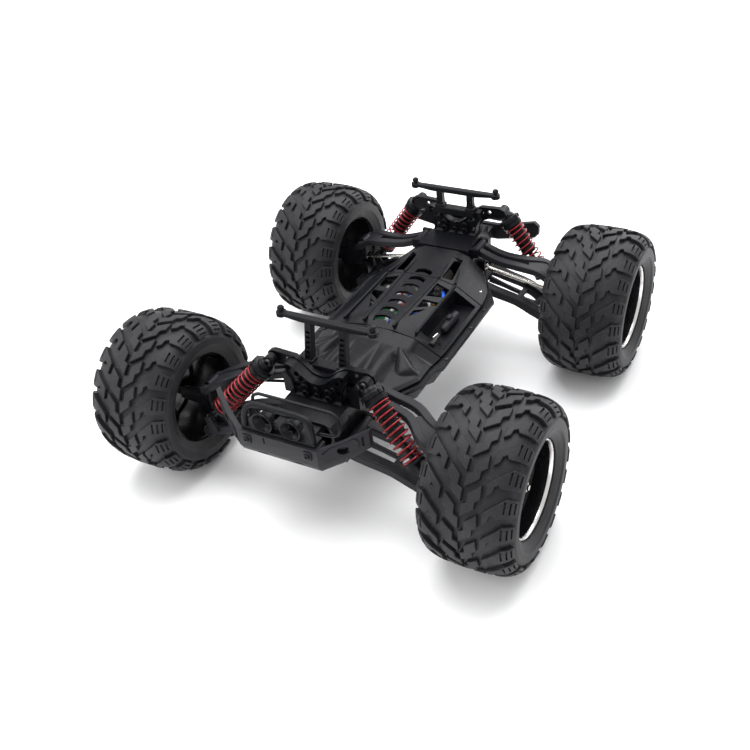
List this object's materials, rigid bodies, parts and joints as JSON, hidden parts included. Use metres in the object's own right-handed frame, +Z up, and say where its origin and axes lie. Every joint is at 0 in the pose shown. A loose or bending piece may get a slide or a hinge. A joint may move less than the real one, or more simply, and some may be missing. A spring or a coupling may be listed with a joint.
{
  "type": "rc monster truck",
  "caption": "Radio-controlled monster truck chassis without its body shell, with wishbone suspension, steering, coil-over shocks, pierced towers, bumpers and big lugged tyres",
  "frame": {"origin": "on the ground, below the middle of the bounding box, midway between the axles", "axes": "front along -Y, the truck's left side along +X, up along +Z"},
  "size_m": [0.302, 0.316, 0.1296],
  "materials": {
    "tyre": "black moulded rubber with a chevron tread and smooth walls",
    "rim": "satin black moulded plastic with a metallic lip",
    "plastic": "fine-grained black nylon",
    "arm": "smooth dark grey nylon",
    "shock": "semi-gloss black plastic",
    "spring": "red lacquered spring wire",
    "steel": "bright turned steel",
    "battery": "blue shrink film over cells",
    "board": "green lacquered circuit board in a plain block",
    "gear": "sintered metal"
  },
  "bodies": {
    "chassis": {"chassis_tub": "plastic", "front_cover": "plastic", "rear_cover": "plastic", "front_bulkhead": "plastic", "rear_gearbox": "plastic", "front_tower": "plastic", "rear_tower": "plastic", "front_body_mount": "plastic", "rear_body_mount": "plastic", "front_bumper": "plastic", "light_pod": "plastic", "rear_bumper": "plastic", "motor": "steel", "battery_pack": "battery", "receiver_board": "board", "steering_servo": "plastic"},
    "battery_door": {"battery_door": "plastic"},
    "door_latch": {"door_latch": "plastic"},
    "spur_gear": {"spur_gear": "gear"},
    "motor_pinion": {"motor_pinion": "gear"},
    "servo_horn": {"servo_horn": "plastic"},
    "steering_rack": {"steering_rack": "plastic"},
    "tie_rod_left": {"tie_rod_left": "plastic"},
    "tie_rod_right": {"tie_rod_right": "plastic"},
    "lower_arm_front_left": {"lower_arm_front_left": "arm"},
    "upper_arm_front_left": {"upper_arm_front_left": "arm"},
    "shock_body_front_left": {"shock_body_front_left": "shock", "spring_front_left": "spring"},
    "shock_rod_front_left": {"shock_rod_front_left": "shock"},
    "wheel_front_left": {"tyre_front_left": "tyre", "rim_front_left": "rim"},
    "front_carrier_left": {"front_carrier_left": "plastic"},
    "front_knuckle_left": {"front_knuckle_left": "plastic"},
    "lower_arm_front_right": {"lower_arm_front_right": "arm"},
    "upper_arm_front_right": {"upper_arm_front_right": "arm"},
    "shock_body_front_right": {"shock_body_front_right": "shock", "spring_front_right": "spring"},
    "shock_rod_front_right": {"shock_rod_front_right": "shock"},
    "wheel_front_right": {"tyre_front_right": "tyre", "rim_front_right": "rim"},
    "front_carrier_right": {"front_carrier_right": "plastic"},
    "front_knuckle_right": {"front_knuckle_right": "plastic"},
    "lower_arm_rear_left": {"lower_arm_rear_left": "arm"},
    "upper_arm_rear_left": {"upper_arm_rear_left": "arm"},
    "shock_body_rear_left": {"shock_body_rear_left": "shock", "spring_rear_left": "spring"},
    "shock_rod_rear_left": {"shock_rod_rear_left": "shock"},
    "wheel_rear_left": {"tyre_rear_left": "tyre", "rim_rear_left": "rim"},
    "rear_hub_left": {"rear_hub_left": "plastic"},
    "driveshaft_left": {"driveshaft_left": "steel"},
    "lower_arm_rear_right": {"lower_arm_rear_right": "arm"},
    "upper_arm_rear_right": {"upper_arm_rear_right": "arm"},
    "shock_body_rear_right": {"shock_body_rear_right": "shock", "spring_rear_right": "spring"},
    "shock_rod_rear_right": {"shock_rod_rear_right": "shock"},
    "wheel_rear_right": {"tyre_rear_right": "tyre", "rim_rear_right": "rim"},
    "rear_hub_right": {"rear_hub_right": "plastic"},
    "driveshaft_right": {"driveshaft_right": "steel"}
  },
  "joints": [
    {"name": "suspension_front_left", "type": "hinge", "parent": "chassis", "child": "lower_arm_front_left", "pos_m": [0.0256, -0.103, 0.058], "axis": [0, -1, 0], "range_deg": [0, 16], "stiffness_Nm_per_rad": 1.8, "springref_deg": -17.19},
    {"name": "upper_link_front_left", "type": "hinge", "parent": "chassis", "child": "upper_arm_front_left", "pos_m": [0.0243, -0.0875, 0.0871], "axis": [0, -1, 0], "range_deg": [-0.5, 16.5]},
    {"name": "carrier_tilt_left", "type": "hinge", "parent": "lower_arm_front_left", "child": "front_carrier_left", "pos_m": [0.084, -0.103, 0.039], "axis": [0, -1, 0], "range_deg": [-16.5, 0.5]},
    {"name": "steer_left", "type": "hinge", "parent": "front_carrier_left", "child": "front_knuckle_left", "pos_m": [0.0875, -0.103, 0.055], "axis": [0, 0, 1], "range_deg": [-20, 20]},
    {"name": "shock_swing_front_left", "type": "hinge", "parent": "chassis", "child": "shock_body_front_left", "pos_m": [0.0345, -0.0984, 0.099], "axis": [-0.3646, -0.9311, -0.0077], "range_deg": [-0.5, 11]},
    {"name": "shock_stroke_front_left", "type": "slide", "parent": "shock_body_front_left", "child": "shock_rod_front_left", "axis": [0.6634, -0.254, -0.7038], "range_m": [-0.0103, 0.0005], "deforming": ["spring_front_left"]},
    {"name": "wheel_spin_front_left", "type": "hinge", "parent": "front_knuckle_left", "child": "wheel_front_left", "pos_m": [0.12, -0.103, 0.055], "axis": [1, 0, 0], "continuous": true},
    {"name": "suspension_front_right", "type": "hinge", "parent": "chassis", "child": "lower_arm_front_right", "pos_m": [-0.0256, -0.103, 0.058], "axis": [0, 1, 0], "range_deg": [0, 16], "stiffness_Nm_per_rad": 1.8, "springref_deg": -17.19},
    {"name": "upper_link_front_right", "type": "hinge", "parent": "chassis", "child": "upper_arm_front_right", "pos_m": [-0.0243, -0.0875, 0.0871], "axis": [0, 1, 0], "range_deg": [-0.5, 16.5]},
    {"name": "carrier_tilt_right", "type": "hinge", "parent": "lower_arm_front_right", "child": "front_carrier_right", "pos_m": [-0.084, -0.103, 0.039], "axis": [0, 1, 0], "range_deg": [-16.5, 0.5]},
    {"name": "steer_right", "type": "hinge", "parent": "front_carrier_right", "child": "front_knuckle_right", "pos_m": [-0.0875, -0.103, 0.055], "axis": [0, 0, 1], "range_deg": [-20.5, 20.5]},
    {"name": "shock_swing_front_right", "type": "hinge", "parent": "chassis", "child": "shock_body_front_right", "pos_m": [-0.0345, -0.0984, 0.099], "axis": [-0.3646, 0.9311, 0.0077], "range_deg": [-0.5, 11]},
    {"name": "shock_stroke_front_right", "type": "slide", "parent": "shock_body_front_right", "child": "shock_rod_front_right", "axis": [-0.6634, -0.254, -0.7038], "range_m": [-0.0103, 0.0005], "deforming": ["spring_front_right"]},
    {"name": "wheel_spin_front_right", "type": "hinge", "parent": "front_knuckle_right", "child": "wheel_front_right", "pos_m": [-0.12, -0.103, 0.055], "axis": [1, 0, 0], "continuous": true},
    {"name": "suspension_rear_left", "type": "hinge", "parent": "chassis", "child": "lower_arm_rear_left", "pos_m": [0.0256, 0.103, 0.058], "axis": [0, -1, 0], "range_deg": [0, 16], "stiffness_Nm_per_rad": 1.8, "springref_deg": -17.19},
    {"name": "upper_link_rear_left", "type": "hinge", "parent": "chassis", "child": "upper_arm_rear_left", "pos_m": [0.0243, 0.097, 0.0861], "axis": [0, -1, 0], "range_deg": [-0.5, 16.5]},
    {"name": "hub_tilt_left", "type": "hinge", "parent": "lower_arm_rear_left", "child": "rear_hub_left", "pos_m": [0.08, 0.103, 0.039], "axis": [0, -1, 0], "range_deg": [-16.5, 0.5]},
    {"name": "shock_swing_rear_left", "type": "hinge", "parent": "chassis", "child": "shock_body_rear_left", "pos_m": [0.0345, 0.12, 0.107], "axis": [-0.1114, -0.9938, -0.0016], "range_deg": [-0.5, 8.6]},
    {"name": "shock_stroke_rear_left", "type": "slide", "parent": "shock_body_rear_left", "child": "shock_rod_rear_left", "axis": [0.5938, -0.0653, -0.8019], "range_m": [-0.0112, 0.0005], "deforming": ["spring_rear_left"]},
    {"name": "wheel_spin_rear_left", "type": "hinge", "parent": "rear_hub_left", "child": "wheel_rear_left", "pos_m": [0.116, 0.103, 0.055], "axis": [1, 0, 0], "continuous": true},
    {"name": "shaft_swing_left", "type": "hinge", "parent": "chassis", "child": "driveshaft_left", "pos_m": [0.0246, 0.103, 0.0675], "axis": [0, -1, 0], "range_deg": [-0.5, 16]},
    {"name": "suspension_rear_right", "type": "hinge", "parent": "chassis", "child": "lower_arm_rear_right", "pos_m": [-0.0256, 0.103, 0.058], "axis": [0, 1, 0], "range_deg": [0, 16], "stiffness_Nm_per_rad": 1.8, "springref_deg": -17.19},
    {"name": "upper_link_rear_right", "type": "hinge", "parent": "chassis", "child": "upper_arm_rear_right", "pos_m": [-0.0243, 0.097, 0.0861], "axis": [0, 1, 0], "range_deg": [-0.5, 16.5]},
    {"name": "hub_tilt_right", "type": "hinge", "parent": "lower_arm_rear_right", "child": "rear_hub_right", "pos_m": [-0.08, 0.103, 0.039], "axis": [0, 1, 0], "range_deg": [-16.5, 0.5]},
    {"name": "shock_swing_rear_right", "type": "hinge", "parent": "chassis", "child": "shock_body_rear_right", "pos_m": [-0.0345, 0.12, 0.107], "axis": [-0.1114, 0.9938, 0.0016], "range_deg": [-0.5, 8.6]},
    {"name": "shock_stroke_rear_right", "type": "slide", "parent": "shock_body_rear_right", "child": "shock_rod_rear_right", "axis": [-0.5938, -0.0653, -0.8019], "range_m": [-0.0112, 0.0005], "deforming": ["spring_rear_right"]},
    {"name": "wheel_spin_rear_right", "type": "hinge", "parent": "rear_hub_right", "child": "wheel_rear_right", "pos_m": [-0.116, 0.103, 0.055], "axis": [1, 0, 0], "continuous": true},
    {"name": "shaft_swing_right", "type": "hinge", "parent": "chassis", "child": "driveshaft_right", "pos_m": [-0.0246, 0.103, 0.0675], "axis": [0, 1, 0], "range_deg": [-0.5, 16]},
    {"name": "rack_slide", "type": "slide", "parent": "chassis", "child": "steering_rack", "axis": [1, 0, 0], "range_m": [-0.0063, 0.0063]},
    {"name": "horn_turn", "type": "hinge", "parent": "chassis", "child": "servo_horn", "pos_m": [0, -0.06, 0.075], "axis": [0, 0, 1], "range_deg": [-15, 15]},
    {"name": "tie_rod_swing_left", "type": "hinge", "parent": "steering_rack", "child": "tie_rod_left", "pos_m": [0.02, -0.0855, 0.0761], "axis": [0, -1, 0], "range_deg": [-0.5, 14.5]},
    {"name": "tie_rod_swing_right", "type": "hinge", "parent": "steering_rack", "child": "tie_rod_right", "pos_m": [-0.02, -0.0855, 0.0761], "axis": [0, 1, 0], "range_deg": [-0.5, 14.5]},
    {"name": "spur_spin", "type": "hinge", "parent": "chassis", "child": "spur_gear", "pos_m": [0.0105, 0.06002, 0.06839], "axis": [1, 0, 0], "continuous": true},
    {"name": "pinion_spin", "type": "hinge", "parent": "chassis", "child": "motor_pinion", "pos_m": [0.0105, 0.042, 0.0653], "axis": [1, 0, 0], "continuous": true},
    {"name": "door_hinge", "type": "hinge", "parent": "chassis", "child": "battery_door", "pos_m": [-0.0479, 0.0115, 0.0683], "axis": [0, -1, 0], "range_deg": [0, 85]},
    {"name": "latch_slide", "type": "slide", "parent": "battery_door", "child": "door_latch", "axis": [0, -1, 0], "range_m": [0, 0.007]}
  ],
  "couplings": [
    {"joint": "upper_link_front_left", "follows": "suspension_front_left", "ratio": 0.9835},
    {"joint": "carrier_tilt_left", "follows": "suspension_front_left", "ratio": -1},
    {"joint": "shock_swing_front_left", "follows": "suspension_front_left", "ratio": 0.6548},
    {"joint": "shock_stroke_front_left", "follows": "suspension_front_left", "m_per_rad": -0.03515},
    {"joint": "upper_link_front_right", "follows": "suspension_front_right", "ratio": 0.9835},
    {"joint": "carrier_tilt_right", "follows": "suspension_front_right", "ratio": -1},
    {"joint": "shock_swing_front_right", "follows": "suspension_front_right", "ratio": 0.6548},
    {"joint": "shock_stroke_front_right", "follows": "suspension_front_right", "m_per_rad": -0.03515},
    {"joint": "upper_link_rear_left", "follows": "suspension_rear_left", "ratio": 0.985},
    {"joint": "hub_tilt_left", "follows": "suspension_rear_left", "ratio": -1},
    {"joint": "shock_swing_rear_left", "follows": "suspension_rear_left", "ratio": 0.5059},
    {"joint": "shock_stroke_rear_left", "follows": "suspension_rear_left", "m_per_rad": -0.03849},
    {"joint": "shaft_swing_left", "follows": "suspension_rear_left", "ratio": 0.949},
    {"joint": "upper_link_rear_right", "follows": "suspension_rear_right", "ratio": 0.985},
    {"joint": "hub_tilt_right", "follows": "suspension_rear_right", "ratio": -1},
    {"joint": "shock_swing_rear_right", "follows": "suspension_rear_right", "ratio": 0.5059},
    {"joint": "shock_stroke_rear_right", "follows": "suspension_rear_right", "m_per_rad": -0.03849},
    {"joint": "shaft_swing_right", "follows": "suspension_rear_right", "ratio": 0.949},
    {"joint": "steer_right", "follows": "steer_left", "ratio": 1},
    {"joint": "rack_slide", "follows": "steer_left", "m_per_rad": -0.0175},
    {"joint": "horn_turn", "follows": "steer_left", "ratio": -0.6863},
    {"joint": "tie_rod_swing_left", "follows": "suspension_front_left", "ratio": 0.852},
    {"joint": "tie_rod_swing_right", "follows": "suspension_front_right", "ratio": 0.852},
    {"joint": "pinion_spin", "follows": "spur_spin", "ratio": -3.2857}
  ]
}
